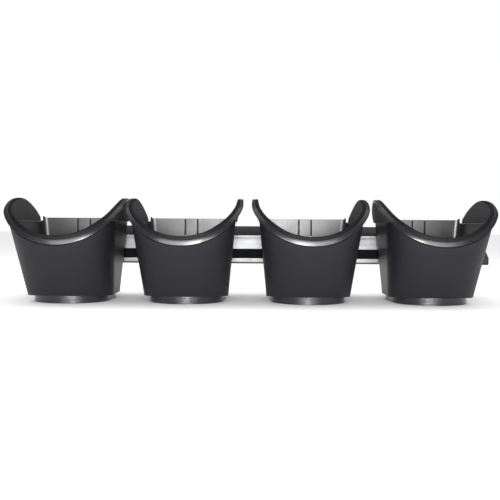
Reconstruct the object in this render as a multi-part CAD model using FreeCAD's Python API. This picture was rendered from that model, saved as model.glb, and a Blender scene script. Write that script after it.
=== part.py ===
"""Four saddle-shaped holders that slide on one aluminium rail, in millimetres.

Every holder is a cup with a D-shaped plan: a flat back, flat sides and a bowed front that leans
forward.  Its rim drops low at the front and rises into an ear on each side.  The cups hook on to a
rail behind them and stand on their base plugs.  The part's frame has +Z up, the front towards -Y,
the rail along X, and its origin under the middle of the whole assembly, on the surface it stands on.
"""
import FreeCAD, Part
import math
import os

V = FreeCAD.Vector

# ---- driving dimensions -------------------------------------------------------------------------
HOLDER_X = [-180.5, -67.1, 52.8, 172.7]   # centre of each holder along the rail

# rail
RAIL_LENGTH = 500.0          # over both end caps
RAIL_BOTTOM_Z = 34.6
RAIL_HEIGHT = 40.0
RAIL_WALL = 1.8
CAP_LENGTH = 8.6             # how much of the rail's length each end cap is
RAIL_SCREW_SPACING = 352.0   # wall-screw holes, hidden behind the outer holders
RAIL_SCREW_HOLE_R = 2.25
STRIP_GROOVE = (5.8, 15.7)   # z of the wide front groove, above the rail's bottom
STRIP_GROOVE_DEPTH = 4.0
STRIP_SET_BACK = 1.8         # from the rail's front to the groove strip's face
STRIP_PLAY = 0.05            # round a strip that is pressed into the rail
RIDGE_Z = 30.0               # where the sloping face begins, above the rail's bottom
SLOPE = (6.0, 9.4)           # depth and height of the sloping face
SLOPE_TOP_BACK = 6.8         # from the rail's front to the front edge of its flat top
TOP_STRIP_START = 0.03       # lower edge of the top strip, as a share of the sloping face
TOP_STRIP_THICK = 1.0
CAP_THIN = 1.6               # thickness of an end cap's upper part
CAP_STOP = 2.7               # how far it stands up, to stop the carriages
CAP_SCREW_R = 1.2
CAP_SCREW_Z = 26.6           # above the rail's bottom
CAP_SCREW_DEPTH = 11.0       # behind the rail's front
CAP_SCREW_HEAD = (2.6, 1.6)  # radius and height of its head
CAP_SHOULDER = (7.4, 22.6)   # where an end cap's sloping shoulder begins and ends, above the bottom
CAP_PLUG_LENGTH = 9.0        # how far an end cap's plug reaches into the rail

# holder, in its own frame: x = 0 at its middle, y = 0 at the front of its base plug
PLUG_HALF_WIDTH = 36.3
PLUG_HEIGHT = 8.0
PLUG_BACK_Y = 77.0
PLUG_CREASE_Y = 34.0
CUP_BACK_Y = 83.0            # outer face of the back wall
CUP_TOP_Z = 82.3             # top edge of the back wall
CUP_FRONT_BACK_Y = -14.0     # how far back the front wall's top edge follows the rim
REAR_CORNER_R = 11.0
WALL = 2.2                   # cup wall
PANEL_DEPTH = 0.6            # recesses in the back wall's inner face
PANEL_MARGIN = 1.2           # between a recess and the tongue's slot
PANEL_WIDTH = 8.5
PANEL_LOW_Z = 34.0
PANEL_HIGH_Z = 77.2
PANEL_WING = (12.5, 17.0, 66.0, 80.4)   # start, end, low z and high z of a recess's raised outer part
EAR_FOOT_Z = 78.6            # outer foot of the ears
NOTCH_Y = 76.6               # rear end of the ears
NOTCH_FLOOR_Z = 79.0         # floor of the notch between an ear and the back wall
NOTCH_X = 43.1               # where the back wall ends in a small raised tip beside the notch
TIP_RISE = 1.6               # how far that tip stands above the wall's top edge
TIP_WIDTH = 1.9
SHELL_TOP_Z = 78.2           # top of the front shell at its sides
SHELL_TOP_GAP = 0.9          # between the front shell and the rim above it
SHELL_ROUND = 2.8            # rounding of the front shell's lower edge
SHELL = 1.8                  # front shell
FIT_GAP = 0.15               # between pieces that are fixed to one another
CREASE_LOW = (41.4, 30.0)    # half-width and y of the side crease, at the bottom of the front shell
CREASE_HIGH = (48.9, -1.0)   # the same at the top of the front shell
FRONT_LOW_Y = -5.5
FRONT_HIGH_Y = -46.5
SHELL_HIGH_Z = 80.0
BOW_LOW = 2.2                # exponent of the front's superellipse, low and high
BOW_HIGH = 2.35
BOW_STEPS = 14
CUP_LOW_Z = 5.4              # lower edge of the cup's sides, and how much it rises towards the front
CUP_LOW_RISE = 0.066
RIM_SEAT_GAP = 0.4           # between the front wall's top edge and the rim on it
FLOOR = 2.4                  # thickness of the plug's and the cup's floor

# latch tongue in the back wall
TONGUE_WIDTH = 11.3
TONGUE_SLOT = 1.7            # gap on each side of the tongue
TONGUE_FOOT_Z = 30.0
TONGUE_CLEAR = 0.4
CATCH_GROOVE = (26.3, 27.8)  # z of the rail's narrow front groove, above the rail's bottom
CATCH_GROOVE_DEPTH = 2.6
CATCH_THICK = 0.7
CATCH_REACH = 1.3            # how far the catch reaches into the groove

# rail carriage behind each cup
CARRIAGE_WIDTH = 62.0
CARRIAGE_THICK = 3.2
SLIDE_GAP = 0.3
RAIL_FRONT_Y = CUP_BACK_Y + CARRIAGE_THICK + 2 * SLIDE_GAP
RAIL_DEPTH = 19.0
RAIL_BACK_Y = RAIL_FRONT_Y + RAIL_DEPTH
CARRIAGE_ARM = 2.4           # thickness of the arm over the rail
WINDOW_Z = (44.0, 70.0)      # lower and upper edge of the carriage's window behind the tongue
CARRIAGE_TOP_Z = 82.0        # top of the plate behind the back wall
CARRIAGE_LIP = 2.4           # thickness of that plate above the arm
TOP_GROOVE_WIDTH = 3.6       # groove along the rail's top, which the carriages hang in
TOP_GROOVE_DEPTH = 1.6
TOP_GROOVE_BACK = 3.6        # from the groove to the rail's back
SCREW_R = 1.5
SCREW_HEAD_R = 2.9
SCREW_HEAD_H = 1.8

RIM_FRONT_Y = -33.0          # foremost point of a holder
DEPTH_SHIFT = -(RIM_FRONT_Y + RAIL_BACK_Y) / 2.0   # puts the origin under the middle of the depth

# The rim's right half, from the middle of the front to the rear notch: a row gives the rim's outer
# edge, its inner edge, then the inner and outer foot of the wall or ear under it.
RIM_ROWS = [
    ((0.0, -33.0, 56.3), (0.0, -32.0, 65.0), (0.0, -28.6, 63.4), (0.0, -29.6, 56.6)),
    ((10.0, -32.7, 57.0), (9.2, -31.7, 65.7), (9.0, -28.4, 64.0), (9.4, -29.4, 57.2)),
    ((20.0, -31.7, 59.4), (18.2, -30.6, 67.8), (17.8, -27.4, 66.0), (18.6, -28.4, 59.4)),
    ((29.3, -29.6, 63.2), (26.2, -28.4, 71.2), (25.2, -25.4, 69.0), (27.4, -26.4, 62.8)),
    ((37.5, -26.6, 68.2), (32.8, -25.2, 75.4), (31.0, -22.2, 73.0), (35.0, -23.4, 67.4)),
    ((44.6, -22.4, 74.2), (38.8, -20.8, 80.2), (36.6, -16.6, 77.0), (41.8, -18.4, 73.0)),
    ((50.0, -16.8, 80.6), (43.8, -15.0, 85.6), (41.6, -8.6, 79.0), (47.0, -9.8, 78.0)),
    ((54.0, -9.4, 86.8), (47.4, -8.0, 91.0), (44.6, 1.0, 78.6), (48.6, 0.4, 78.6)),
    ((56.0, 1.0, 92.6), (49.2, 2.0, 95.4), (45.4, 8.0, 78.6), (48.9, 8.0, 78.6)),
    ((56.2, 13.0, 97.8), (49.8, 13.4, 98.8), (45.4, 16.0, 78.6), (48.9, 16.0, 78.6)),
    ((55.6, 28.0, 100.8), (50.0, 28.0, 101.0), (45.4, 28.0, 78.6), (48.9, 28.0, 78.6)),
    ((54.6, 43.0, 100.2), (49.6, 43.0, 100.0), (45.4, 42.0, 78.6), (48.9, 42.0, 78.6)),
    ((53.2, 56.0, 96.8), (48.8, 55.6, 96.4), (45.3, 54.0, 78.6), (48.7, 54.0, 78.6)),
    ((51.4, 68.0, 91.2), (47.6, 67.4, 91.0), (45.1, 66.0, 78.6), (48.4, 66.0, 78.6)),
    ((49.0, 76.6, 83.4), (45.6, 76.6, 83.4), (44.9, 76.6, 78.6), (47.8, 76.6, 78.6)),
]
TRIM_SHARE = 0.56            # how much of the rim's edge band is the glossy trim
TRIM_INTO_BODY = 0.11        # how deep the trim sits in the rim, as a share of the way to its foot
RIM_BEHIND_TRIM = 0.12       # where the rim begins behind the trim, in the same measure
EAR_BULGE = 0.62             # height of the ear's widest point, as a share of the ear's own height


# ---- helpers -------------------------------------------------------------------------------------
def vec(p):
    """A FreeCAD vector from an (x, y, z) triple."""
    return V(p[0], p[1], p[2])


def mix(a, b, share):
    """The point that lies the given share of the way from a to b."""
    return tuple(a[i] + (b[i] - a[i]) * share for i in range(3))


def mirrored(point):
    """The point on the other side of the holder's middle plane."""
    return (-point[0], point[1], point[2])


def loft(sections):
    """A closed solid through a row of polygons that all have the same number of corners."""
    wires = []
    for corners in sections:
        points = [vec(p) for p in corners]
        wires.append(Part.makePolygon(points + [points[0]]))
    return Part.makeLoft(wires, True, False)


def largest(shape):
    """The largest solid of a shape, without the crumbs that a cut can leave."""
    return max(shape.Solids, key=lambda solid: solid.Volume)


def both_sides(rows):
    """Rows of the right half, continued over the middle to the left half."""
    left = [[mirrored(p) for p in row] for row in reversed(rows[1:])]
    return left + [list(row) for row in rows]


def box(x0, x1, y0, y1, z0, z1):
    """A box between two corners."""
    return Part.makeBox(x1 - x0, y1 - y0, z1 - z0, V(x0, y0, z0))


def cylinder_y(r, x, y0, y1, z):
    """A cylinder along Y."""
    return Part.makeCylinder(r, y1 - y0, V(x, y0, z), V(0, 1, 0))


def prism_x(outline, x0, x1):
    """A solid with a (y, z) outline, from x0 to x1."""
    points = [V(x0, y, z) for y, z in outline]
    face = Part.Face(Part.makePolygon(points + [points[0]]))
    return face.extrude(V(x1 - x0, 0, 0))


def prism_y(outline, y0, y1):
    """A solid with an (x, z) outline, from y0 to y1."""
    points = [V(x, y0, z) for x, z in outline]
    face = Part.Face(Part.makePolygon(points + [points[0]]))
    return face.extrude(V(0, y1 - y0, 0))


def place(shape, centre_x):
    """A holder's own shape moved to its place on the rail."""
    moved = shape.copy()
    moved.translate(V(centre_x, DEPTH_SHIFT, 0))
    return moved


def save(shape, node):
    """Writes one node, after testing it."""
    for solid in shape.Solids:
        if not solid.isValid() or solid.Volume <= 0:
            raise ValueError(node + " is not a valid solid")
    shape.exportStep("parts/" + node + ".step")
    print("%-24s solids %2d  volume %9.1f" % (node, len(shape.Solids), shape.Volume))


# ---- the cup's plan ------------------------------------------------------------------------------
def level(z):
    """How far up the front shell a height is, 0 at its bottom and 1 at its top."""
    return (z - PLUG_HEIGHT) / (SHELL_HIGH_Z - PLUG_HEIGHT)


def crease(z, inset):
    """Half-width and y of the side crease at a height, for a surface that far inside."""
    s = level(z)
    half = CREASE_LOW[0] + (CREASE_HIGH[0] - CREASE_LOW[0]) * s
    y = CREASE_LOW[1] + (CREASE_HIGH[1] - CREASE_LOW[1]) * s
    return half - inset, y


def front_y(z, inset):
    """y of the middle of the bowed front at a height."""
    return FRONT_LOW_Y + (FRONT_HIGH_Y - FRONT_LOW_Y) * level(z) + inset


def bow_point(angle, z, inset):
    """A point of the bowed front: angle 0 is the right crease and 90 degrees the middle."""
    half, crease_y = crease(z, inset)
    depth = crease_y - front_y(z, inset)
    bow = BOW_LOW + (BOW_HIGH - BOW_LOW) * level(z)
    c = math.cos(angle)
    s = math.sin(angle)
    reach = (abs(c) ** bow + abs(s) ** bow) ** (-1.0 / bow)
    return (half * reach * c, crease_y - depth * reach * s, z)


def bow_angle(point):
    """The angle at which the bowed front passes through a point's plan direction."""
    half, crease_y = crease(point[2], 0.0)
    depth = crease_y - front_y(point[2], 0.0)
    return math.atan2((crease_y - point[1]) / depth, point[0] / half)


def d_wire(bow_points, half, crease_y, back, radius, z):
    """A closed D-shaped plan: a bowed front through the given points, flat sides and a flat back."""
    curve = Part.BSplineCurve()
    curve.interpolate([vec(p) for p in bow_points])
    turn = radius * (1.0 - math.sqrt(0.5))
    start = V(-half, back - radius, z)
    middle = V(-half + turn, back - turn, z)
    left_corner = Part.Arc(start, middle, V(-half + radius, back, z))
    start = V(half - radius, back, z)
    middle = V(half - turn, back - turn, z)
    right_corner = Part.Arc(start, middle, V(half, back - radius, z))
    return Part.Wire([
        curve.toShape(),
        Part.makeLine(V(-half, crease_y, z), V(-half, back - radius, z)),
        left_corner.toShape(),
        Part.makeLine(V(-half + radius, back, z), V(half - radius, back, z)),
        right_corner.toShape(),
        Part.makeLine(V(half, back - radius, z), V(half, crease_y, z)),
    ])


def cup_wire(z, inset):
    """The cup's plan at a height."""
    half, crease_y = crease(z, inset)
    bow = [bow_point(math.pi * i / BOW_STEPS, z, inset) for i in range(BOW_STEPS + 1)]
    return d_wire(bow, half, crease_y, CUP_BACK_Y - inset, REAR_CORNER_R - inset, z)


def cup_solid(inset, z0, z1):
    """The cup's whole volume, inset from its outer surface, between two heights."""
    return Part.makeLoft([cup_wire(z0, inset), cup_wire(z1, inset)], True, True)


def plug_solid(inset, z0, z1):
    """The base plug's volume: a straight D under the cup."""
    half = PLUG_HALF_WIDTH - inset
    reach = PLUG_CREASE_Y - inset
    bow = []
    for i in range(BOW_STEPS + 1):
        angle = math.pi * i / BOW_STEPS
        bow.append((half * math.cos(angle), PLUG_CREASE_Y - reach * math.sin(angle), z0))
    wire = d_wire(bow, half, PLUG_CREASE_Y, PLUG_BACK_Y - inset, REAR_CORNER_R - inset, z0)
    return Part.Face(wire).extrude(V(0, 0, z1 - z0))


def under_cup(gap):
    """What lies under the cup's lower edge, which rises a little towards the front."""
    z = CUP_LOW_Z - gap
    rise = CUP_LOW_RISE * (CREASE_LOW[1] - RIM_FRONT_Y)
    behind = CUP_BACK_Y + 5.0
    edge = [(RIM_FRONT_Y, z + rise), (CREASE_LOW[1], z), (behind, z)]
    outline = edge + [(behind, -5.0), (RIM_FRONT_Y, -5.0)]
    return prism_x(outline, -70.0, 70.0)


# ---- holder pieces -------------------------------------------------------------------------------
def screw_places():
    """x and z of the four screws that hold the carriage to the back wall."""
    return [(x, z) for x in (-26.0, 26.0) for z in (44.0, 60.0)]


def base_plug():
    """The glossy foot: a D-shaped tray that closes the cup's bottom."""
    body = plug_solid(0.0, 0.0, PLUG_HEIGHT)
    hollow = plug_solid(WALL, FLOOR, PLUG_HEIGHT + 1.0)
    return body.cut(hollow).common(under_cup(FIT_GAP / 2.0))


def back_panels():
    """Two shallow recesses in the inner face of the back wall, beside the tongue."""
    face_y = CUP_BACK_Y - SHELL - FIT_GAP - WALL
    start = TONGUE_WIDTH / 2.0 + TONGUE_SLOT + PANEL_MARGIN
    edge = start + PANEL_WIDTH
    wing_start, wing_end, wing_low, wing_high = PANEL_WING
    panels = []
    for sign in (-1.0, 1.0):
        outline = [
            (start, PANEL_LOW_Z), (start, PANEL_HIGH_Z),
            (edge, PANEL_HIGH_Z), (start + wing_start, wing_high),
            (start + wing_end, wing_high), (start + wing_end, wing_low),
            (edge, wing_low), (edge, PANEL_LOW_Z),
        ]
        panels.append(prism_y([(sign * x, z) for x, z in outline], face_y - 1.0, face_y + PANEL_DEPTH))
    return panels[0].fuse(panels[1])


def above_front():
    """The (x, z) outline of what is cut off the front wall, along the rim's underside."""
    clear_z = CUP_TOP_Z + 9.0
    right = []
    for _, _, _, outer_foot in RIM_ROWS[:8]:
        right.append((outer_foot[0], outer_foot[2] - RIM_SEAT_GAP))
    right += [(70.0, EAR_FOOT_Z), (70.0, clear_z)]
    left = [(-x, z) for x, z in reversed(right[1:])]
    return left + right


def above_sides():
    """The (y, z) outline of what is cut off the side walls, under the ears."""
    side_z = EAR_FOOT_Z - FIT_GAP
    clear_z = CUP_TOP_Z + 9.0
    end_y = NOTCH_Y + 0.3
    foot = RIM_ROWS[6][3]
    start = [(CUP_FRONT_BACK_Y, 75.2), (foot[1], foot[2] - RIM_SEAT_GAP), (1.0, side_z), (end_y, side_z)]
    return start + [(end_y, clear_z), (CUP_FRONT_BACK_Y, clear_z)]


def above_back():
    """The (x, z) outline of what is cut off the back wall: its top edge, tips and two notches."""
    clear_z = CUP_TOP_Z + 9.0
    right = [
        (NOTCH_X - TIP_WIDTH, CUP_TOP_Z), (NOTCH_X - TIP_WIDTH / 2.0, CUP_TOP_Z + TIP_RISE * 0.6),
        (NOTCH_X, CUP_TOP_Z + TIP_RISE), (NOTCH_X, NOTCH_FLOOR_Z + 0.8),
        (NOTCH_X + 0.8, NOTCH_FLOOR_Z), (70.0, NOTCH_FLOOR_Z), (70.0, clear_z),
    ]
    left = [(-x, z) for x, z in reversed(right)]
    return left + right


def cup_liner():
    """The glossy cup: floor, flat sides, flat back with a window for the latch tongue."""
    inset = SHELL + FIT_GAP
    outer = cup_solid(inset, CUP_LOW_Z - 1.0, CUP_TOP_Z + 4.0)
    inner = cup_solid(inset + WALL, CUP_LOW_Z + FLOOR + WALL, CUP_TOP_Z + 6.0)
    cup = outer.cut(inner).cut(under_cup(0.0))
    cup = cup.cut(prism_y(above_front(), -80.0, CUP_FRONT_BACK_Y))
    cup = cup.cut(prism_x(above_sides(), -70.0, 70.0)).cut(saddle_rim())
    cup = cup.cut(prism_y(above_back(), NOTCH_Y, CUP_BACK_Y + 5.0))
    half = TONGUE_WIDTH / 2.0 + TONGUE_SLOT
    window = box(-half, half, CUP_BACK_Y - 8.0, CUP_BACK_Y + 1.0, TONGUE_FOOT_Z, CUP_TOP_Z + 1.0)
    cup = cup.cut(window).cut(back_panels())
    for x, z in screw_places():
        cup = cup.cut(cylinder_y(SCREW_R + 0.1, x, CUP_BACK_Y - 8.0, CUP_BACK_Y + 1.0, z))
    return largest(cup)


def shell_stations():
    """Angle and top height of the front shell's sections, from the middle to the side crease."""
    stations = []
    for outer_edge, _, _, _ in RIM_ROWS[:7]:
        stations.append((bow_angle(outer_edge), outer_edge[2] - SHELL_TOP_GAP))
    last_angle = stations[-1][0]
    for share in (0.66, 0.33, 0.0):
        stations.append((last_angle * share, SHELL_TOP_Z))
    return stations


def front_shell():
    """The matte front: a thin bowed shell from crease to crease, under the rim."""
    sections = []
    for angle, top_z in shell_stations():
        low_z = CUP_LOW_Z + CUP_LOW_RISE * (CREASE_LOW[1] - bow_point(angle, CUP_LOW_Z, 0.0)[1])
        sections.append([
            bow_point(angle, top_z, 0.0),
            bow_point(angle, low_z + SHELL_ROUND, 0.0),
            bow_point(angle, low_z + SHELL_ROUND * 0.3, SHELL_ROUND * 0.25),
            bow_point(angle, low_z, SHELL_ROUND * 0.55),
            bow_point(angle, low_z, SHELL),
            bow_point(angle, top_z, SHELL),
        ])
    return largest(loft(both_sides(sections)).cut(saddle_rim()).cut(rim_trim()))


def saddle_rim():
    """The soft cradle: a rolled lip across the front that grows into an ear on each side."""
    sections = []
    for outer_edge, inner_edge, inner_foot, outer_foot in RIM_ROWS:
        seam = mix(outer_edge, inner_edge, TRIM_SHARE)
        body = mix(inner_foot, outer_foot, 0.5)
        back_seam = mix(seam, body, RIM_BEHIND_TRIM)
        back_outer = mix(outer_edge, outer_foot, RIM_BEHIND_TRIM)
        outer_mid = mix(outer_foot, outer_edge, EAR_BULGE)
        inner_mid = mix(inner_foot, inner_edge, EAR_BULGE)
        inside = [seam, inner_edge, inner_mid, inner_foot]
        sections.append(inside + [outer_foot, outer_mid, back_outer, back_seam])
    return loft(both_sides(sections))


def rim_trim():
    """The glossy band on the outer part of the rim's edge."""
    sections = []
    for outer_edge, inner_edge, inner_foot, outer_foot in RIM_ROWS:
        seam = mix(outer_edge, inner_edge, TRIM_SHARE)
        body = mix(inner_foot, outer_foot, 0.5)
        front = [outer_edge, mix(outer_edge, seam, 0.99)]
        back = [mix(seam, body, TRIM_INTO_BODY), mix(outer_edge, outer_foot, TRIM_INTO_BODY)]
        sections.append(front + back)
    return loft(both_sides(sections))


def latch_tongue():
    """The springy tongue in the back wall, with a catch that reaches into the rail's front groove."""
    half = TONGUE_WIDTH / 2.0
    y1 = CUP_BACK_Y - SHELL - FIT_GAP
    y0 = y1 - WALL
    blade = box(-half, half, y0, y1, TONGUE_FOOT_Z + TONGUE_CLEAR, CUP_TOP_Z)
    low = RAIL_BOTTOM_Z + CATCH_GROOVE[0] + SLIDE_GAP
    high = low + CATCH_THICK
    shoulder = RAIL_FRONT_Y - 0.5
    tip = RAIL_FRONT_Y + CATCH_REACH
    root = y1 - 0.5
    lower = [(root, low - 4.0), (shoulder, low), (tip, low)]
    upper = [(tip - 0.3, high), (shoulder, high), (root, high + 4.0)]
    return blade.fuse(prism_x(lower + upper, -half, half))


def top_strip_seat(play):
    """Outer and inner (y, z) corners of the top strip on the sloping face, with play round it."""
    y0 = RAIL_FRONT_Y
    z0 = RAIL_BOTTOM_Z + RIDGE_Z
    length = math.hypot(SLOPE[0], SLOPE[1])
    along = (SLOPE[0] / length, SLOPE[1] / length)
    thick = TOP_STRIP_THICK - play
    low = TOP_STRIP_START * length + play
    outer_low = (y0 + along[0] * low, z0 + along[1] * low)
    inner_low = (outer_low[0] + along[1] * thick, outer_low[1] - along[0] * thick)
    rise = RAIL_BOTTOM_Z + RAIL_HEIGHT - inner_low[1]
    inner_high = (inner_low[0] + rise * along[0] / along[1], RAIL_BOTTOM_Z + RAIL_HEIGHT)
    return outer_low, inner_low, inner_high


def rail_profile():
    """The (y, z) outline of the rail: stepped front, seat of the top strip, grooved top, flat back."""
    f = RAIL_FRONT_Y
    z = RAIL_BOTTOM_Z
    top = z + RAIL_HEIGHT
    strip_y = f + STRIP_GROOVE_DEPTH
    strip_low = z + STRIP_GROOVE[0]
    strip_high = z + STRIP_GROOVE[1]
    catch_y = f + CATCH_GROOVE_DEPTH
    catch_low = z + CATCH_GROOVE[0]
    catch_high = z + CATCH_GROOVE[1]
    groove_y1 = RAIL_BACK_Y - TOP_GROOVE_BACK
    groove_y0 = groove_y1 - TOP_GROOVE_WIDTH
    groove_z = top - TOP_GROOVE_DEPTH
    foot = [(f + 1.6, z), (f, z + 1.8)]
    wide_groove = [(f, strip_low), (strip_y, strip_low), (strip_y, strip_high), (f, strip_high)]
    narrow_groove = [(f, catch_low), (catch_y, catch_low), (catch_y, catch_high), (f, catch_high)]
    slope = [(f, z + RIDGE_Z)] + list(top_strip_seat(0.0))
    top_groove = [(groove_y0, top), (groove_y0, groove_z), (groove_y1, groove_z), (groove_y1, top)]
    return foot + wide_groove + narrow_groove + slope + top_groove + [(RAIL_BACK_Y, top), (RAIL_BACK_Y, z)]


def rail_hollows(x0, x1):
    """The three chambers inside the extrusion."""
    f = RAIL_FRONT_Y
    z = RAIL_BOTTOM_Z
    w = RAIL_WALL
    inner_back = RAIL_BACK_Y - w
    strip_wall = f + STRIP_GROOVE_DEPTH + w
    low = box(x0, x1, f + w + 0.6, inner_back, z + w, z + STRIP_GROOVE[0] - w)
    middle = box(x0, x1, strip_wall, inner_back, z + STRIP_GROOVE[0], z + STRIP_GROOVE[1])
    floor = z + STRIP_GROOVE[1] + w
    ceiling = z + RAIL_HEIGHT - w - TOP_GROOVE_DEPTH
    front = f + CATCH_GROOVE_DEPTH + w
    rear = [(inner_back, floor), (inner_back, ceiling)]
    slope = [(front + 3.4, ceiling), (front, z + 31.0)]
    return low, middle, prism_x([(front, floor)] + rear + slope, x0, x1)


def rail_screw_x():
    """x of the two wall-screw holes."""
    return (-RAIL_SCREW_SPACING / 2.0, RAIL_SCREW_SPACING / 2.0)


def screw_z():
    """Height of the wall-screw holes: the middle of the strip's groove."""
    return RAIL_BOTTOM_Z + (STRIP_GROOVE[0] + STRIP_GROOVE[1]) / 2.0


def rail():
    """The hollow extrusion, with two wall-screw holes through its groove."""
    half = RAIL_LENGTH / 2.0 - CAP_LENGTH
    body = prism_x(rail_profile(), -half, half)
    for hollow in rail_hollows(-half - 1.0, half + 1.0):
        body = body.cut(hollow)
    for x in rail_screw_x():
        body = body.cut(cylinder_y(RAIL_SCREW_HOLE_R, x, RAIL_FRONT_Y - 1.0, RAIL_BACK_Y + 1.0, screw_z()))
    body.translate(V(0, DEPTH_SHIFT, 0))
    return body


def groove_strip():
    """The black insert in the rail's wide groove, open round each wall screw."""
    half = RAIL_LENGTH / 2.0 - CAP_LENGTH
    y0 = RAIL_FRONT_Y + STRIP_SET_BACK
    y1 = RAIL_FRONT_Y + STRIP_GROOVE_DEPTH - STRIP_PLAY
    z0 = RAIL_BOTTOM_Z + STRIP_GROOVE[0] + STRIP_PLAY
    z1 = RAIL_BOTTOM_Z + STRIP_GROOVE[1] - STRIP_PLAY
    strip = box(-half, half, y0, y1, z0, z1)
    for x in rail_screw_x():
        opening = cylinder_y(RAIL_SCREW_HOLE_R + 2.4, x, RAIL_FRONT_Y - 1.0, RAIL_BACK_Y, screw_z())
        strip = strip.cut(opening)
    strip.translate(V(0, DEPTH_SHIFT, 0))
    return strip


def top_strip():
    """The glossy black strip on the rail's sloping upper face."""
    half = RAIL_LENGTH / 2.0 - CAP_LENGTH
    outer_low, inner_low, inner_high = top_strip_seat(STRIP_PLAY)
    slope_high = (RAIL_FRONT_Y + SLOPE[0], RAIL_BOTTOM_Z + RIDGE_Z + SLOPE[1])
    edge = (RAIL_FRONT_Y + SLOPE_TOP_BACK, RAIL_BOTTOM_Z + RAIL_HEIGHT)
    strip = prism_x([outer_low, slope_high, edge, inner_high, inner_low], -half, half)
    strip.translate(V(0, DEPTH_SHIFT, 0))
    return strip


def end_cap(side):
    """A black end cap: a sloping shoulder over a deeper foot, a stop on top, and a plug in the rail."""
    half = RAIL_LENGTH / 2.0
    inner = half - CAP_LENGTH
    z = RAIL_BOTTOM_Z
    top = z + RAIL_HEIGHT
    thin = inner + CAP_THIN
    stop = top + CAP_STOP
    low, high = CAP_SHOULDER
    outline = [(inner, z), (half, z), (half, z + low), (thin, z + high), (thin, stop), (inner, stop)]
    blank = prism_y(outline, RAIL_FRONT_Y, RAIL_BACK_Y)
    f = RAIL_FRONT_Y
    front = [(f + 1.6, z), (f, z + 1.8), (f, z + RIDGE_Z)]
    above = [(f + SLOPE_TOP_BACK, top), (f + SLOPE_TOP_BACK, stop)]
    section = prism_x(front + above + [(RAIL_BACK_Y, stop), (RAIL_BACK_Y, z)], inner - 1.0, half + 1.0)
    cap = blank.common(section)
    plug_z = z + STRIP_GROOVE[1] + RAIL_WALL + FIT_GAP
    plug_y0 = f + CATCH_GROOVE_DEPTH + RAIL_WALL + FIT_GAP
    plug_y1 = RAIL_BACK_Y - RAIL_WALL - FIT_GAP
    plug = box(inner - CAP_PLUG_LENGTH, inner + 0.5, plug_y0, plug_y1, plug_z, z + 31.0)
    start = V(inner - 12.0, f + CAP_SCREW_DEPTH, z + CAP_SCREW_Z)
    hole = Part.makeCylinder(CAP_SCREW_R + 0.02, 30.0, start, V(1, 0, 0))
    cap = cap.fuse(plug).cut(hole)
    if side < 0:
        cap = cap.mirror(V(0, 0, 0), V(1, 0, 0))
    cap.translate(V(0, DEPTH_SHIFT, 0))
    return cap


def end_cap_screw(side):
    """The cross-head screw that holds an end cap in the rail."""
    inner = RAIL_LENGTH / 2.0 - CAP_LENGTH
    z = RAIL_BOTTOM_Z + CAP_SCREW_Z
    y = RAIL_FRONT_Y + CAP_SCREW_DEPTH
    seat = inner + CAP_THIN
    shank = Part.makeCylinder(CAP_SCREW_R, seat - inner + 8.0, V(inner - 8.0, y, z), V(1, 0, 0))
    head = Part.makeCylinder(CAP_SCREW_HEAD[0], CAP_SCREW_HEAD[1], V(seat, y, z), V(1, 0, 0))
    slot = box(seat + 0.8, seat + 2.0, y - 0.3, y + 0.3, z - 1.5, z + 1.5)
    cross = box(seat + 0.8, seat + 2.0, y - 1.5, y + 1.5, z - 0.3, z + 0.3)
    screw = shank.fuse(head).cut(slot).cut(cross)
    if side < 0:
        screw = screw.mirror(V(0, 0, 0), V(1, 0, 0))
    screw.translate(V(0, DEPTH_SHIFT, 0))
    return screw


def carriage_outline():
    """The (y, z) outline of a carriage: a plate, an arm over the rail, and a tooth in its top groove."""
    y0 = CUP_BACK_Y - SHELL
    y1 = RAIL_FRONT_Y - SLIDE_GAP
    low = RAIL_BOTTOM_Z + 0.6
    top = RAIL_BOTTOM_Z + RAIL_HEIGHT
    high = top + SLIDE_GAP
    groove_y = RAIL_BACK_Y - TOP_GROOVE_BACK
    tooth_y0 = groove_y - TOP_GROOVE_WIDTH + SLIDE_GAP
    tooth_y1 = groove_y - SLIDE_GAP
    tooth_z = top - TOP_GROOVE_DEPTH + SLIDE_GAP
    return [
        (y0, low), (y1, low), (y1, high - 9.4), (y1 + 5.9, high), (tooth_y0, high), (tooth_y0, tooth_z),
        (tooth_y1, tooth_z), (tooth_y1, high + CARRIAGE_ARM), (y0 + CARRIAGE_LIP, high + CARRIAGE_ARM),
        (y0 + CARRIAGE_LIP, CARRIAGE_TOP_Z), (y0, CARRIAGE_TOP_Z),
    ]


def rail_carriage():
    """The bracket behind the cup that hangs on the rail's top groove and runs along it."""
    half = CARRIAGE_WIDTH / 2.0
    body = prism_x(carriage_outline(), -half, half)
    half_window = TONGUE_WIDTH / 2.0 + TONGUE_SLOT
    front = CUP_BACK_Y - SHELL
    body = body.cut(box(-half_window, half_window, front - 1.0, RAIL_FRONT_Y, WINDOW_Z[0], WINDOW_Z[1]))
    body = body.cut(box(-half_window, half_window, front - 1.0, front + TONGUE_CLEAR, 0.0, CUP_TOP_Z))
    for x, z in screw_places():
        body = body.cut(cylinder_y(SCREW_R - 0.02, x, front - 1.0, RAIL_FRONT_Y, z))
    return body


def carriage_screws():
    """Four pan-head screws through the cup's back wall into the carriage."""
    wall_y = CUP_BACK_Y - SHELL - FIT_GAP - WALL
    screws = []
    for x, z in screw_places():
        head = cylinder_y(SCREW_HEAD_R, x, wall_y - SCREW_HEAD_H, wall_y, z)
        shank = cylinder_y(SCREW_R - 0.05, x, wall_y - 0.5, RAIL_FRONT_Y - SLIDE_GAP - 0.2, z)
        slot = box(x - 0.35, x + 0.35, wall_y - SCREW_HEAD_H - 1.0, wall_y - 1.0, z - 1.7, z + 1.7)
        cross = box(x - 1.7, x + 1.7, wall_y - SCREW_HEAD_H - 1.0, wall_y - 1.0, z - 0.35, z + 0.35)
        screws.append(head.fuse(shank).cut(slot.fuse(cross)))
    return Part.makeCompound(screws)


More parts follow.
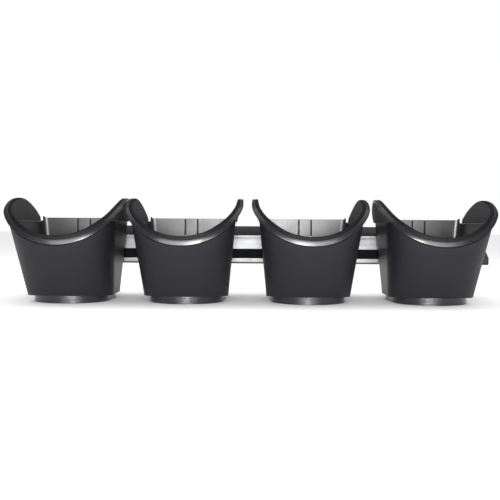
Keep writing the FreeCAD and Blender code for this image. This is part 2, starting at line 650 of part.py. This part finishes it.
def build():
    """Builds and writes every node."""
    os.makedirs("parts", exist_ok=True)
    save(rail(), "rail")
    save(groove_strip(), "rail_groove_strip")
    save(top_strip(), "rail_top_strip")
    save(end_cap(-1), "end_cap_left")
    save(end_cap(1), "end_cap_right")
    save(end_cap_screw(-1), "end_cap_screw_left")
    save(end_cap_screw(1), "end_cap_screw_right")
    makers = [("base_plug", base_plug), ("cup_liner", cup_liner), ("front_shell", front_shell),
              ("saddle_rim", saddle_rim), ("rim_trim", rim_trim), ("latch_tongue", latch_tongue),
              ("rail_carriage", rail_carriage), ("carriage_screws", carriage_screws)]
    for name, maker in makers:
        shape = maker()
        for number, centre_x in enumerate(HOLDER_X, 1):
            save(place(shape, centre_x), "%s_%d" % (name, number))


build()
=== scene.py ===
"""Looks of the four-cup saddle holder: finer shells and rims, finishes, light and camera.

The shape functions work in millimetres, in a holder's own frame: x = 0 at its middle, y = 0 at the
front of its base plug.  A mesh is moved to its place on the rail and turned into metres when made.
"""
import math

import bmesh
import bpy
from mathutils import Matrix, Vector


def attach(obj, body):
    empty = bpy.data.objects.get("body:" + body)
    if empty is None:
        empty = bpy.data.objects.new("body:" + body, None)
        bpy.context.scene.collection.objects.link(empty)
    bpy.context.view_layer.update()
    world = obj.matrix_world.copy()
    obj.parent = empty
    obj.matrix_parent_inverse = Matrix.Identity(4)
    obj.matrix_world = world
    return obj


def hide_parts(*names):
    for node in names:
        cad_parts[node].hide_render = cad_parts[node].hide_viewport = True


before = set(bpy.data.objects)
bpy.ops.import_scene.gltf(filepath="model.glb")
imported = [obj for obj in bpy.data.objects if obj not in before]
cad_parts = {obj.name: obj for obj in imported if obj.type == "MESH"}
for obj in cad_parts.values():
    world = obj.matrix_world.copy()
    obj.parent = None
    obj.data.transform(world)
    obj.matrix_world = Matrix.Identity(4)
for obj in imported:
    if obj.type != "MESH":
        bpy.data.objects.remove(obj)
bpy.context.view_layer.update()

# ---- dimensions that the CAD model has too ---------------------------------------------------------
HOLDER_X = [-180.5, -67.1, 52.8, 172.7]   # centre of each holder along the rail
DEPTH_SHIFT = -36.4          # from a holder's own y to the shared frame's
PLUG_HEIGHT = 8.0
CUP_LOW_Z = 5.4
CUP_LOW_RISE = 0.066
CREASE_LOW = (41.4, 30.0)    # half-width and y of the side crease, at the bottom of the front shell
CREASE_HIGH = (48.9, -1.0)
FRONT_LOW_Y = -5.5
FRONT_HIGH_Y = -46.5
SHELL_HIGH_Z = 80.0
SHELL_TOP_Z = 78.2
SHELL_TOP_GAP = 0.9
SHELL = 1.8                  # thickness of the front shell
BOW_LOW = 2.2                # how square the front's bow is, where 2 is an ellipse
BOW_HIGH = 2.35
TRIM_SHARE = 0.56            # share of the rim's edge that the trim covers
TRIM_INTO_BODY = 0.11        # how deep the trim sits, as a share of the rim's height

# Outer edge, inner edge, inner foot and outer foot of the rim, from the front's middle to the notch.
RIM_ROWS = [
    ((0.0, -33.0, 56.3), (0.0, -32.0, 65.0), (0.0, -28.6, 63.4), (0.0, -29.6, 56.6)),
    ((10.0, -32.7, 57.0), (9.2, -31.7, 65.7), (9.0, -28.4, 64.0), (9.4, -29.4, 57.2)),
    ((20.0, -31.7, 59.4), (18.2, -30.6, 67.8), (17.8, -27.4, 66.0), (18.6, -28.4, 59.4)),
    ((29.3, -29.6, 63.2), (26.2, -28.4, 71.2), (25.2, -25.4, 69.0), (27.4, -26.4, 62.8)),
    ((37.5, -26.6, 68.2), (32.8, -25.2, 75.4), (31.0, -22.2, 73.0), (35.0, -23.4, 67.4)),
    ((44.6, -22.4, 74.2), (38.8, -20.8, 80.2), (36.6, -16.6, 77.0), (41.8, -18.4, 73.0)),
    ((50.0, -16.8, 80.6), (43.8, -15.0, 85.6), (41.6, -8.6, 79.0), (47.0, -9.8, 78.0)),
    ((54.0, -9.4, 86.8), (47.4, -8.0, 91.0), (44.6, 1.0, 78.6), (48.6, 0.4, 78.6)),
    ((56.0, 1.0, 92.6), (49.2, 2.0, 95.4), (45.4, 8.0, 78.6), (48.9, 8.0, 78.6)),
    ((56.2, 13.0, 97.8), (49.8, 13.4, 98.8), (45.4, 16.0, 78.6), (48.9, 16.0, 78.6)),
    ((55.6, 28.0, 100.8), (50.0, 28.0, 101.0), (45.4, 28.0, 78.6), (48.9, 28.0, 78.6)),
    ((54.6, 43.0, 100.2), (49.6, 43.0, 100.0), (45.4, 42.0, 78.6), (48.9, 42.0, 78.6)),
    ((53.2, 56.0, 96.8), (48.8, 55.6, 96.4), (45.3, 54.0, 78.6), (48.7, 54.0, 78.6)),
    ((51.4, 68.0, 91.2), (47.6, 67.4, 91.0), (45.1, 66.0, 78.6), (48.4, 66.0, 78.6)),
    ((49.0, 76.6, 83.4), (45.6, 76.6, 83.4), (44.9, 76.6, 78.6), (47.8, 76.6, 78.6)),
]

# ---- fineness and edges of the finer pieces --------------------------------------------------------
ROW_STEPS = 5                # finer rows between two rows of the rim
BOW_STEPS = 96               # sections of the front shell
SHELL_STEPS = 6              # steps from the front shell's top to its bottom
ARC_STEPS = 3                # faces of a rounded corner
CORNER_SHARE = 0.45          # the most of a side that one rounded corner takes
WELD_REACH = 0.002           # points closer than this become one
SHARP_ANGLE = 50.0           # degrees between faces that meet at a hard edge
SHELL_TOP_EDGE = 0.35        # how far the rounding of each of the front shell's corners reaches
SHELL_FACE_EDGE = 0.05
SHELL_LOW_EDGE = 2.6
SHELL_LOW_INNER_EDGE = 0.3
SEAM_REACH = 4.0             # how far above the shell the rim still shapes its upper edge
TRIM_PLAY = 0.006            # gap between trim and rim, as a share of the rim's edge
RIM_BEND = 0.62              # where the rim's flanks bend, as a share of their height
RIM_RECESS = 0.12            # depth of the rim's seat for the trim, as a share of its height
RIM_EDGES = [0.3, 1.3, 2.0, 0.4, 0.4, 2.0, 0.2, 0.1]    # reach of each corner's rounding
TRIM_EDGES = [1.0, 0.5, 0.1, 0.1]

# ---- light and camera ------------------------------------------------------------------------------
FLOOR_REACH = 12.0           # metres, from the middle to the floor's edge
SURROUND = 1.0               # strength of the surround for the camera and the floor
REFLECTED_SURROUND = 0.22    # its strength in reflections
LENS = 50.4                  # millimetres
SENSOR = 36.0                # millimetres
CAMERA_SHIFT = (-0.01, -0.042)
CAMERA_PLACE = (0.0, -0.6974, 0.0716)    # metres
CAMERA_LEAN = -0.0065        # radians


# ---- shape helpers ---------------------------------------------------------------------------------
def mirrored(point):
    """The point on the other side of the holder's middle plane."""
    return Vector((-point[0], point[1], point[2]))


def between(a, b, share):
    """The point that lies the given share of the way from a to b."""
    return a + (b - a) * share


def curve_point(p0, p1, p2, p3, t):
    """A point between p1 and p2, on a smooth curve through all four."""
    linear = (p2 - p0) * t
    square = (p0 * 2.0 - p1 * 5.0 + p2 * 4.0 - p3) * t ** 2
    cube = (p1 * 3.0 - p0 - p2 * 3.0 + p3) * t ** 3
    return p1 + (linear + square + cube) * 0.5


def fine_rows():
    """The rim's rows on both sides, with finer rows between them."""
    right = [[Vector(p) for p in row] for row in RIM_ROWS]
    left = [[mirrored(p) for p in row] for row in reversed(right[1:])]
    rows = left + right
    fine = []
    for i in range(len(rows) - 1):
        near = [rows[max(i - 1, 0)], rows[i], rows[i + 1], rows[min(i + 2, len(rows) - 1)]]
        for step in range(ROW_STEPS):
            t = step / ROW_STEPS
            fine.append([curve_point(*[row[k] for row in near], t) for k in range(4)])
    fine.append(rows[-1])
    return fine


def rounded(corners, radii):
    """A closed outline with every corner turned into a short arc."""
    outline = []
    for i, corner in enumerate(corners):
        back = corners[i - 1] - corner
        ahead = corners[(i + 1) % len(corners)] - corner
        reach = min(radii[i], back.length * CORNER_SHARE, ahead.length * CORNER_SHARE)
        start = corner + back.normalized() * reach
        end = corner + ahead.normalized() * reach
        for step in range(ARC_STEPS + 1):
            t = step / ARC_STEPS
            outline.append(between(between(start, corner, t), between(corner, end, t), t))
    return outline


def sweep(sections, edge_points=0):
    """A closed surface through a row of outlines that all have the same number of points.

    The strips that start at the first edge_points points of each outline take the second finish.
    """
    surface = bmesh.new()
    rings = [[surface.verts.new(p) for p in section] for section in sections]
    for ring, following in zip(rings, rings[1:]):
        for i, corner in enumerate(ring):
            j = (i + 1) % len(ring)
            face = surface.faces.new((corner, ring[j], following[j], following[i]))
            face.material_index = 1 if i < edge_points else 0
    surface.faces.new(list(reversed(rings[0])))
    surface.faces.new(rings[-1])
    bmesh.ops.remove_doubles(surface, verts=surface.verts, dist=WELD_REACH)
    bmesh.ops.recalc_face_normals(surface, faces=surface.faces)
    return surface


# ---- the front's bow -------------------------------------------------------------------------------
def level(z):
    """How far up the front shell a height is, 0 at its bottom and 1 at its top."""
    return (z - PLUG_HEIGHT) / (SHELL_HIGH_Z - PLUG_HEIGHT)


def crease(z):
    """Half-width and y of the side crease at a height."""
    s = level(z)
    half = CREASE_LOW[0] + (CREASE_HIGH[0] - CREASE_LOW[0]) * s
    return half, CREASE_LOW[1] + (CREASE_HIGH[1] - CREASE_LOW[1]) * s


def bow_depth(z):
    """Distance from the side crease to the middle of the front, along y."""
    return crease(z)[1] - (FRONT_LOW_Y + (FRONT_HIGH_Y - FRONT_LOW_Y) * level(z))


def bow_point(angle, z, inset):
    """A point of the bowed front: angle 0 is the right crease and 90 degrees the middle."""
    half, crease_y = crease(z)
    bow = BOW_LOW + (BOW_HIGH - BOW_LOW) * level(z)
    c = math.cos(angle)
    s = math.sin(angle)
    reach = (abs(c) ** bow + abs(s) ** bow) ** (-1.0 / bow)
    return Vector(((half - inset) * reach * c, crease_y - (bow_depth(z) - inset) * reach * s, z))


def bow_angle(point):
    """The angle at which the bowed front passes through a point's plan direction."""
    half, crease_y = crease(point[2])
    return math.atan2((crease_y - point[1]) / bow_depth(point[2]), point[0] / half)


def shell_top(angle, seam):
    """Height of the front shell's upper edge at an angle, under the rim."""
    angle = min(angle, math.pi - angle)
    for (a0, z0), (a1, z1) in zip(seam, seam[1:]):
        if a1 <= angle <= a0:
            return min(SHELL_TOP_Z, z0 + (z1 - z0) * (a0 - angle) / (a0 - a1))
    return min(SHELL_TOP_Z, seam[0][1]) if angle > seam[0][0] else SHELL_TOP_Z


# ---- the finer pieces ------------------------------------------------------------------------------
def front_shell_surface(rows):
    """The matte front, from crease to crease, with soft lower corners."""
    right = rows[len(rows) // 2:]
    seam = []
    for outer_edge, _, _, _ in right:
        if outer_edge.y < 0.0 and outer_edge.z < SHELL_HIGH_Z + SEAM_REACH:
            seam.append((bow_angle(outer_edge), outer_edge.z - SHELL_TOP_GAP))
    sections = []
    for i in range(BOW_STEPS + 1):
        angle = math.pi * i / BOW_STEPS
        top = shell_top(angle, seam)
        low = CUP_LOW_Z + CUP_LOW_RISE * (CREASE_LOW[1] - bow_point(angle, CUP_LOW_Z, 0.0).y)
        heights = [top + (low - top) * k / SHELL_STEPS for k in range(SHELL_STEPS + 1)]
        corners = [bow_point(angle, z, 0.0) for z in heights]
        corners += [bow_point(angle, low, SHELL), bow_point(angle, top, SHELL)]
        radii = [SHELL_TOP_EDGE] + [SHELL_FACE_EDGE] * (SHELL_STEPS - 1)
        radii += [SHELL_LOW_EDGE, SHELL_LOW_INNER_EDGE, SHELL_TOP_EDGE]
        sections.append(rounded(corners, radii))
    return sweep(sections)


def saddle_rim_surface(rows):
    """The soft cradle: a rolled lip across the front that grows into an ear on each side."""
    sections = []
    for outer_edge, inner_edge, inner_foot, outer_foot in rows:
        seam = between(outer_edge, inner_edge, TRIM_SHARE)
        body = between(inner_foot, outer_foot, 0.5)
        corners = [
            seam, inner_edge, between(inner_foot, inner_edge, RIM_BEND), inner_foot, outer_foot,
            between(outer_foot, outer_edge, RIM_BEND), between(outer_edge, outer_foot, RIM_RECESS),
            between(seam, body, RIM_RECESS),
        ]
        sections.append(rounded(corners, RIM_EDGES))
    lip_points = 2 * (ARC_STEPS + 1) - 1
    return sweep(sections, edge_points=lip_points)


def rim_trim_surface(rows):
    """The glossy band on the outer part of the rim's edge, a little crowned."""
    sections = []
    for outer_edge, inner_edge, inner_foot, outer_foot in rows:
        seam = between(outer_edge, inner_edge, TRIM_SHARE - TRIM_PLAY)
        body = between(inner_foot, outer_foot, 0.5)
        corners = [
            outer_edge, seam, between(seam, body, TRIM_INTO_BODY),
            between(outer_edge, outer_foot, TRIM_INTO_BODY),
        ]
        sections.append(rounded(corners, TRIM_EDGES))
    return sweep(sections)


# ---- finishes --------------------------------------------------------------------------------------
BROAD_GRAIN = 38.0           # per metre, the scale of the slow changes in sheen
BROAD_DETAIL = 3.0
FINE_DETAIL = 4.0
NOISE_ROUGHNESS = 0.6
GRAIN_SPAN = (0.3, 0.7)      # the part of the noise's range that is used
BUMP_STRENGTH = 0.6
SIDE_SPAN = (0.75, 0.95)     # how far sideways a face looks, from not at all a side to wholly one
SIDE_ROUGHNESS = 0.45


def add_noise(tree, vector, scale, detail):
    """A noise texture in the material's node tree."""
    noise = tree.nodes.new("ShaderNodeTexNoise")
    noise.inputs["Scale"].default_value = scale
    noise.inputs["Detail"].default_value = detail
    noise.inputs["Roughness"].default_value = NOISE_ROUGHNESS
    tree.links.new(vector, noise.inputs["Vector"])
    return noise.outputs["Fac"]


def finish_material(name, dark, light, rough, grain, depth, metallic=0.0, ior=1.5,
                    stretch=(1.0, 1.0, 1.0)):
    """A procedural finish: mottled colour, uneven sheen and a fine grain.

    dark and light are the ends of the colour, rough those of the roughness, grain the scale of the
    surface's texture per metre, depth its height in metres, and stretch its direction.
    """
    material = bpy.data.materials.new(name)
    material.use_nodes = True
    tree = material.node_tree
    shader = tree.nodes["Principled BSDF"]
    shader.inputs["Metallic"].default_value = metallic
    shader.inputs["IOR"].default_value = ior
    place = tree.nodes.new("ShaderNodeTexCoord")
    turn = tree.nodes.new("ShaderNodeMapping")
    turn.inputs["Scale"].default_value = stretch
    tree.links.new(place.outputs["Object"], turn.inputs["Vector"])
    broad = add_noise(tree, place.outputs["Object"], BROAD_GRAIN, BROAD_DETAIL)
    fine = add_noise(tree, turn.outputs["Vector"], grain, FINE_DETAIL)
    ramp = tree.nodes.new("ShaderNodeValToRGB")
    ramp.color_ramp.elements[0].position = GRAIN_SPAN[0]
    ramp.color_ramp.elements[0].color = (*dark, 1.0)
    ramp.color_ramp.elements[1].position = GRAIN_SPAN[1]
    ramp.color_ramp.elements[1].color = (*light, 1.0)
    tree.links.new(fine, ramp.inputs["Fac"])
    tree.links.new(ramp.outputs["Color"], shader.inputs["Base Color"])
    spread = tree.nodes.new("ShaderNodeMapRange")
    spread.inputs["From Min"].default_value = GRAIN_SPAN[0]
    spread.inputs["From Max"].default_value = GRAIN_SPAN[1]
    spread.inputs["To Min"].default_value = rough[0]
    spread.inputs["To Max"].default_value = rough[1]
    tree.links.new(broad, spread.inputs["Value"])
    tree.links.new(spread.outputs["Result"], shader.inputs["Roughness"])
    bump = tree.nodes.new("ShaderNodeBump")
    bump.inputs["Strength"].default_value = BUMP_STRENGTH
    bump.inputs["Distance"].default_value = depth
    tree.links.new(fine, bump.inputs["Height"])
    tree.links.new(bump.outputs["Normal"], shader.inputs["Normal"])
    return material


# What each finish is made of, as finish_material takes it.
FINISH_TABLE = {
    "rail_aluminium": {
        "dark": (0.2, 0.2, 0.208), "light": (0.28, 0.28, 0.288), "rough": (0.42, 0.54),
        "grain": 1500.0, "depth": 0.00002, "metallic": 1.0, "stretch": (0.02, 1.0, 1.0),
    },
    "strip_black": {
        "dark": (0.003, 0.004, 0.004), "light": (0.006, 0.006, 0.006), "rough": (0.55, 0.7),
        "grain": 1800.0, "depth": 0.00005, "ior": 1.12,
    },
    "cap_black": {
        "dark": (0.003, 0.003, 0.004), "light": (0.006, 0.006, 0.007), "rough": (0.4, 0.55),
        "grain": 1600.0, "depth": 0.00006, "ior": 1.4,
    },
    "screw_steel": {
        "dark": (0.28, 0.28, 0.29), "light": (0.42, 0.42, 0.43), "rough": (0.22, 0.38),
        "grain": 2600.0, "depth": 0.00002, "metallic": 1.0,
    },
    "strip_gloss": {
        "dark": (0.006, 0.006, 0.007), "light": (0.009, 0.009, 0.01), "rough": (0.12, 0.2),
        "grain": 900.0, "depth": 0.000004,
    },
    "gloss_black": {
        "dark": (0.009, 0.009, 0.01), "light": (0.015, 0.015, 0.016), "rough": (0.27, 0.37),
        "grain": 900.0, "depth": 0.000006, "ior": 1.55,
    },
    "plug_gloss": {
        "dark": (0.006, 0.006, 0.007), "light": (0.01, 0.01, 0.011), "rough": (0.16, 0.24),
        "grain": 2200.0, "depth": 0.00018, "ior": 1.6, "stretch": (0.02, 0.02, 1.0),
    },
    "gloss_trim": {
        "dark": (0.006, 0.006, 0.007), "light": (0.012, 0.012, 0.013), "rough": (0.2, 0.3),
        "grain": 1400.0, "depth": 0.00001, "ior": 1.5,
    },
    "matte_charcoal": {
        "dark": (0.005, 0.005, 0.007), "light": (0.012, 0.012, 0.015), "rough": (0.5, 0.6),
        "grain": 2400.0, "depth": 0.00008, "ior": 1.33,
    },
    "soft_rim": {
        "dark": (0.026, 0.026, 0.028), "light": (0.04, 0.04, 0.043), "rough": (0.55, 0.68),
        "grain": 2000.0, "depth": 0.00008, "ior": 1.3,
    },
    "rim_edge": {
        "dark": (0.003, 0.003, 0.004), "light": (0.006, 0.006, 0.007), "rough": (0.5, 0.6),
        "grain": 2000.0, "depth": 0.00006, "ior": 1.22,
    },
    "bracket_black": {
        "dark": (0.005, 0.005, 0.006), "light": (0.008, 0.008, 0.009), "rough": (0.45, 0.6),
        "grain": 1600.0, "depth": 0.00006, "ior": 1.35,
    },
}
FINISHES = {}
for name, look in FINISH_TABLE.items():
    FINISHES[name] = finish_material(name, **look)


def matte_sides(material, rough):
    """Makes the faces that look left or right rougher than the material's own sheen."""
    tree = material.node_tree
    shader = tree.nodes["Principled BSDF"]
    sheen = shader.inputs["Roughness"].links[0].from_socket
    place = tree.nodes.new("ShaderNodeTexCoord")
    parts = tree.nodes.new("ShaderNodeSeparateXYZ")
    tree.links.new(place.outputs["Normal"], parts.inputs["Vector"])
    sideways = tree.nodes.new("ShaderNodeMath")
    sideways.operation = "ABSOLUTE"
    tree.links.new(parts.outputs["X"], sideways.inputs[0])
    share = tree.nodes.new("ShaderNodeMapRange")
    share.inputs["From Min"].default_value = SIDE_SPAN[0]
    share.inputs["From Max"].default_value = SIDE_SPAN[1]
    tree.links.new(sideways.outputs["Value"], share.inputs["Value"])
    choice = tree.nodes.new("ShaderNodeMix")
    choice.inputs["B"].default_value = rough
    tree.links.new(share.outputs["Result"], choice.inputs["Factor"])
    tree.links.new(sheen, choice.inputs["A"])
    tree.links.new(choice.outputs["Result"], shader.inputs["Roughness"])


matte_sides(FINISHES["gloss_black"], SIDE_ROUGHNESS)


# ---- pieces ----------------------------------------------------------------------------------------
def add_piece(name, surface, centre_x, number, finish):
    """A finer piece of one holder, in the place of its CAD node."""
    finishes = finish if isinstance(finish, tuple) else (finish,)
    mesh = bpy.data.meshes.new(name)
    surface.to_mesh(mesh)
    for vertex in mesh.vertices:
        x, y, z = vertex.co
        vertex.co = ((x + centre_x) / 1000.0, (y + DEPTH_SHIFT) / 1000.0, z / 1000.0)
    mesh.shade_smooth()
    mesh.set_sharp_from_angle(angle=math.radians(SHARP_ANGLE))
    for each in finishes:
        mesh.materials.append(FINISHES[each])
    piece = bpy.data.objects.new(name, mesh)
    bpy.context.scene.collection.objects.link(piece)
    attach(piece, "holder_%d" % number)
    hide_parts(name.replace("fine_", ""))


NODE_WELD = 0.000002         # metres
BEVEL_STEPS = 2
BEVEL_ANGLE = 35.0
FLATNESS = 100               # how strongly large faces keep their own direction


def finish_node(node, finish, edge):
    """A CAD node's finish, with its sharp edges softened by edge millimetres."""
    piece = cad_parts[node]
    piece.data.materials.clear()
    piece.data.materials.append(FINISHES[finish])
    weld = piece.modifiers.new("weld", "WELD")
    weld.merge_threshold = NODE_WELD
    soft = piece.modifiers.new("soft_edges", "BEVEL")
    soft.width = edge / 1000.0
    soft.segments = BEVEL_STEPS
    soft.limit_method = "ANGLE"
    soft.angle_limit = math.radians(BEVEL_ANGLE)
    even = piece.modifiers.new("even_normals", "WEIGHTED_NORMAL")
    even.mode = "FACE_AREA"
    even.weight = FLATNESS


rows = fine_rows()
# name, surface and finish of each finer piece; a pair of finishes is the body's and the lip's
SURFACES = [
    ("fine_front_shell", front_shell_surface(rows), "matte_charcoal"),
    ("fine_saddle_rim", saddle_rim_surface(rows), ("soft_rim", "rim_edge")),
    ("fine_rim_trim", rim_trim_surface(rows), "gloss_trim"),
]
# name, finish and edge in millimetres of each CAD node that a holder has
NODE_FINISHES = [
    ("base_plug", "plug_gloss", 0.35), ("cup_liner", "gloss_black", 0.3),
    ("latch_tongue", "gloss_black", 0.3), ("rail_carriage", "bracket_black", 0.3),
    ("carriage_screws", "screw_steel", 0.12),
]
for number, centre_x in enumerate(HOLDER_X, 1):
    for name, surface, finish in SURFACES:
        add_piece("%s_%d" % (name, number), surface, centre_x, number, finish)
    for name, finish, edge in NODE_FINISHES:
        finish_node("%s_%d" % (name, number), finish, edge)
finish_node("rail", "rail_aluminium", 0.2)
finish_node("rail_groove_strip", "strip_black", 0.2)
finish_node("rail_top_strip", "strip_gloss", 0.1)
for side in ("left", "right"):
    finish_node("end_cap_" + side, "cap_black", 0.4)
    finish_node("end_cap_screw_" + side, "screw_steel", 0.12)


# ---- stage, light and camera -----------------------------------------------------------------------
def add_floor():
    """A plain pale floor at the level that the cups stand on."""
    surface = bmesh.new()
    signs = [(-1, -1), (1, -1), (1, 1), (-1, 1)]
    corners = [(FLOOR_REACH * x, FLOOR_REACH * y, 0.0) for x, y in signs]
    surface.faces.new([surface.verts.new(corner) for corner in corners])
    mesh = bpy.data.meshes.new("floor")
    surface.to_mesh(mesh)
    mesh.materials.append(finish_material(
        "pale_floor", dark=(0.94, 0.94, 0.94), light=(0.96, 0.96, 0.96), rough=(0.7, 0.8),
        grain=60.0, depth=0.00002))
    floor = bpy.data.objects.new("floor", mesh)
    bpy.context.scene.collection.objects.link(floor)


def add_softbox(name, place, target, size, radiance):
    """A soft area light of the given width and height in metres, aimed at a point."""
    light = bpy.data.lights.new(name, "AREA")
    light.shape = "RECTANGLE"
    light.size, light.size_y = size
    light.energy = radiance * math.pi * size[0] * size[1]
    lamp = bpy.data.objects.new(name, light)
    lamp.location = place
    lamp.rotation_euler = (Vector(target) - Vector(place)).to_track_quat("-Z", "Y").to_euler()
    lamp.visible_camera = False
    bpy.context.scene.collection.objects.link(lamp)


def add_world():
    """An even surround that is white to the camera and on the floor, and dimmer in reflections."""
    world = bpy.data.worlds.new("studio")
    world.use_nodes = True
    tree = world.node_tree
    surround = tree.nodes["Background"]
    surround.inputs["Color"].default_value = (1.0, 1.0, 1.0, 1.0)
    surround.inputs["Strength"].default_value = SURROUND
    reflected = tree.nodes.new("ShaderNodeBackground")
    reflected.inputs["Color"].default_value = (1.0, 1.0, 1.0, 1.0)
    reflected.inputs["Strength"].default_value = REFLECTED_SURROUND
    path = tree.nodes.new("ShaderNodeLightPath")
    choice = tree.nodes.new("ShaderNodeMixShader")
    tree.links.new(path.outputs["Is Glossy Ray"], choice.inputs["Fac"])
    tree.links.new(surround.outputs["Background"], choice.inputs[1])
    tree.links.new(reflected.outputs["Background"], choice.inputs[2])
    tree.links.new(choice.outputs["Shader"], tree.nodes["World Output"].inputs["Surface"])
    bpy.context.scene.world = world


def add_camera():
    """The camera in front of the row, level with the ears' feet."""
    lens = bpy.data.cameras.new("camera")
    lens.sensor_width = SENSOR
    lens.lens = LENS
    lens.shift_x, lens.shift_y = CAMERA_SHIFT
    camera = bpy.data.objects.new("camera", lens)
    camera.location = CAMERA_PLACE
    camera.rotation_euler = (math.radians(90.0), CAMERA_LEAN, 0.0)
    bpy.context.scene.collection.objects.link(camera)
    bpy.context.scene.camera = camera


add_floor()
add_world()
add_softbox("front_softbox", place=(0.0, -1.15, 0.22), target=(0.0, 0.0, 0.06), size=(1.1, 0.4),
            radiance=9.0)
add_softbox("key_softbox", place=(0.0, -1.0, 0.16), target=(0.0, 0.0, 0.03), size=(0.18, 0.3),
            radiance=35.0)
add_softbox("top_softbox", place=(0.0, 0.1, 1.0), target=(0.0, 0.0, 0.0), size=(1.6, 1.0),
            radiance=1.0)
add_camera()
bpy.context.scene.view_settings.view_transform = "Standard"
